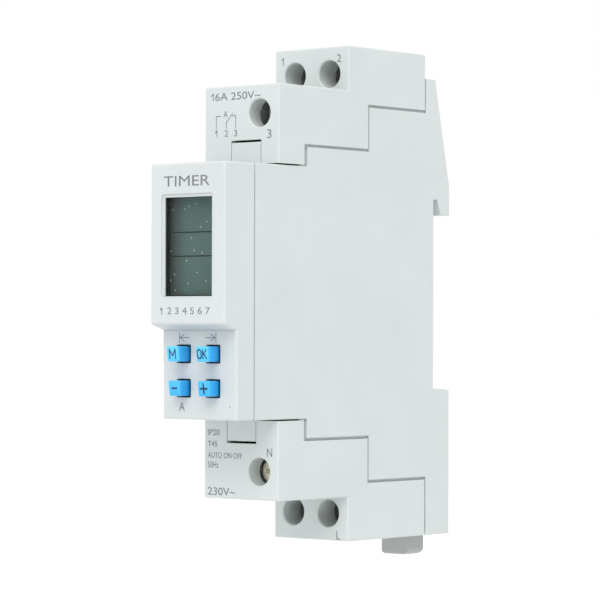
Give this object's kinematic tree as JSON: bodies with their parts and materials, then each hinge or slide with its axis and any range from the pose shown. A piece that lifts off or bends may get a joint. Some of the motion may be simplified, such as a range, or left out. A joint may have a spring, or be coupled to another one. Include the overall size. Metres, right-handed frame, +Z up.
{
  "type": "din rail timer",
  "caption": "Slim rail-mounted digital time switch with a display, push buttons, screw clamp terminals, a relay inside and a sprung rail clip.",
  "frame": {"origin": "middle of the module on the rear face of the mounting rail, on the rail's centre line", "axes": "+X to the right seen from the front, +Y to the back towards the rail, +Z up"},
  "size_m": [0.0176, 0.0641, 0.094],
  "materials": {
    "housing": "fine matt",
    "terminal_cover": "fine matt",
    "front_cover": "satin",
    "window": "clear gloss",
    "lcd_glass": "gloss, grey green",
    "black_plastic": "matt",
    "elastomer": "matt",
    "circuit_board": "solder mask",
    "plated_steel": "zinc plated",
    "relay_plastic": "satin",
    "coil_winding": "enamelled wire",
    "contact_brass": "bright",
    "capacitor_box": "gloss",
    "capacitor_sleeve": "gloss sleeve",
    "varistor_coat": "lacquer",
    "resistor_coat": "matt lacquer",
    "clip_plastic": "matt, light grey",
    "spring_steel": "bright",
    "screw_steel": "zinc plated",
    "button_blue": "satin"
  },
  "bodies": {
    "housing": {"housing_body": "housing", "side_cover": "housing", "upper_terminal_cover": "terminal_cover", "lower_terminal_cover": "terminal_cover", "front_cover": "front_cover", "display_window": "window", "lcd_panel": "lcd_glass", "lcd_holder_frame": "black_plastic", "zebra_strips": "elastomer", "display_board": "circuit_board", "tact_switch_bodies": "black_plastic", "microcontroller": "black_plastic", "quartz_crystal": "plated_steel", "board_connector": "black_plastic", "main_board": "circuit_board", "relay_base": "relay_plastic", "relay_case": "relay_plastic", "relay_coil": "coil_winding", "relay_yoke": "plated_steel", "relay_fixed_contacts": "contact_brass", "battery_holder": "black_plastic", "backup_battery": "plated_steel", "suppression_capacitor": "capacitor_box", "smoothing_capacitor": "capacitor_sleeve", "varistor": "varistor_coat", "rectifier_diodes": "black_plastic", "fuse_resistor": "resistor_coat", "terminal_bar_1": "contact_brass", "terminal_bar_2": "contact_brass", "terminal_bar_3": "contact_brass", "terminal_bar_n": "contact_brass", "terminal_bar_l": "contact_brass"},
    "button_menu_body": {"button_menu": "button_blue", "plunger_menu": "black_plastic"},
    "button_ok_body": {"button_ok": "button_blue", "plunger_ok": "black_plastic"},
    "button_minus_body": {"button_minus": "button_blue", "plunger_minus": "black_plastic"},
    "button_plus_body": {"button_plus": "button_blue", "plunger_plus": "black_plastic"},
    "screw_1": {"terminal_screw_1": "screw_steel"},
    "cage_1": {"clamp_cage_1": "plated_steel"},
    "screw_2": {"terminal_screw_2": "screw_steel"},
    "cage_2": {"clamp_cage_2": "plated_steel"},
    "screw_3": {"terminal_screw_3": "screw_steel"},
    "cage_3": {"clamp_cage_3": "plated_steel"},
    "screw_n": {"terminal_screw_n": "screw_steel"},
    "cage_n": {"clamp_cage_n": "plated_steel"},
    "screw_l": {"terminal_screw_l": "screw_steel"},
    "cage_l": {"clamp_cage_l": "plated_steel"},
    "rail_clip": {"din_clip": "clip_plastic", "din_clip_spring": "spring_steel"},
    "armature": {"relay_armature": "plated_steel", "relay_moving_contact": "contact_brass"}
  },
  "joints": [
    {"name": "press_menu", "type": "slide", "parent": "housing", "child": "button_menu_body", "axis": [0, 1, 0], "range_m": [0, 0.00035], "stiffness_N_per_m": 400, "springref_m": -0.0005},
    {"name": "press_ok", "type": "slide", "parent": "housing", "child": "button_ok_body", "axis": [0, 1, 0], "range_m": [0, 0.00035], "stiffness_N_per_m": 400, "springref_m": -0.0005},
    {"name": "press_minus", "type": "slide", "parent": "housing", "child": "button_minus_body", "axis": [0, 1, 0], "range_m": [0, 0.00035], "stiffness_N_per_m": 400, "springref_m": -0.0005},
    {"name": "press_plus", "type": "slide", "parent": "housing", "child": "button_plus_body", "axis": [0, 1, 0], "range_m": [0, 0.00035], "stiffness_N_per_m": 400, "springref_m": -0.0005},
    {"name": "turn_screw_1", "type": "hinge", "parent": "housing", "child": "screw_1", "pos_m": [-0.0041, -0.0196, 0.04], "axis": [0, 1, 0], "range_deg": [0, 2160]},
    {"name": "lift_cage_1", "type": "slide", "parent": "housing", "child": "cage_1", "axis": [0, -1, 0], "range_m": [0, 0.003]},
    {"name": "turn_screw_2", "type": "hinge", "parent": "housing", "child": "screw_2", "pos_m": [0.0041, -0.0196, 0.04], "axis": [0, 1, 0], "range_deg": [0, 2160]},
    {"name": "lift_cage_2", "type": "slide", "parent": "housing", "child": "cage_2", "axis": [0, -1, 0], "range_m": [0, 0.003]},
    {"name": "turn_screw_3", "type": "hinge", "parent": "housing", "child": "screw_3", "pos_m": [0.00415, -0.0401, 0.0318], "axis": [0, 1, 0], "range_deg": [0, 2160]},
    {"name": "lift_cage_3", "type": "slide", "parent": "housing", "child": "cage_3", "axis": [0, -1, 0], "range_m": [0, 0.003]},
    {"name": "turn_screw_n", "type": "hinge", "parent": "housing", "child": "screw_n", "pos_m": [0.0042, -0.0401, -0.0318], "axis": [0, 1, 0], "range_deg": [0, 2160]},
    {"name": "lift_cage_n", "type": "slide", "parent": "housing", "child": "cage_n", "axis": [0, -1, 0], "range_m": [0, 0.003]},
    {"name": "turn_screw_l", "type": "hinge", "parent": "housing", "child": "screw_l", "pos_m": [0.004, -0.0196, -0.04], "axis": [0, 1, 0], "range_deg": [0, 2160]},
    {"name": "lift_cage_l", "type": "slide", "parent": "housing", "child": "cage_l", "axis": [0, -1, 0], "range_m": [0, 0.003]},
    {"name": "pull_rail_clip", "type": "slide", "parent": "housing", "child": "rail_clip", "axis": [0, 0, -1], "range_m": [0, 0.003], "stiffness_N_per_m": 1500, "springref_m": -0.0008, "deforming": ["din_clip_spring"]},
    {"name": "relay_armature_hinge", "type": "hinge", "parent": "housing", "child": "armature", "pos_m": [0.0006, -0.0198, 0.0196], "axis": [-1, 0, 0], "range_deg": [0, 3.5], "stiffness_Nm_per_rad": 0.005, "springref_deg": -2.86}
  ],
  "couplings": [
    {"joint": "turn_screw_1", "follows": "lift_cage_1", "rad_per_m": 12566},
    {"joint": "turn_screw_2", "follows": "lift_cage_2", "rad_per_m": 12566},
    {"joint": "turn_screw_3", "follows": "lift_cage_3", "rad_per_m": 12566},
    {"joint": "turn_screw_n", "follows": "lift_cage_n", "rad_per_m": 12566},
    {"joint": "turn_screw_l", "follows": "lift_cage_l", "rad_per_m": 12566}
  ]
}
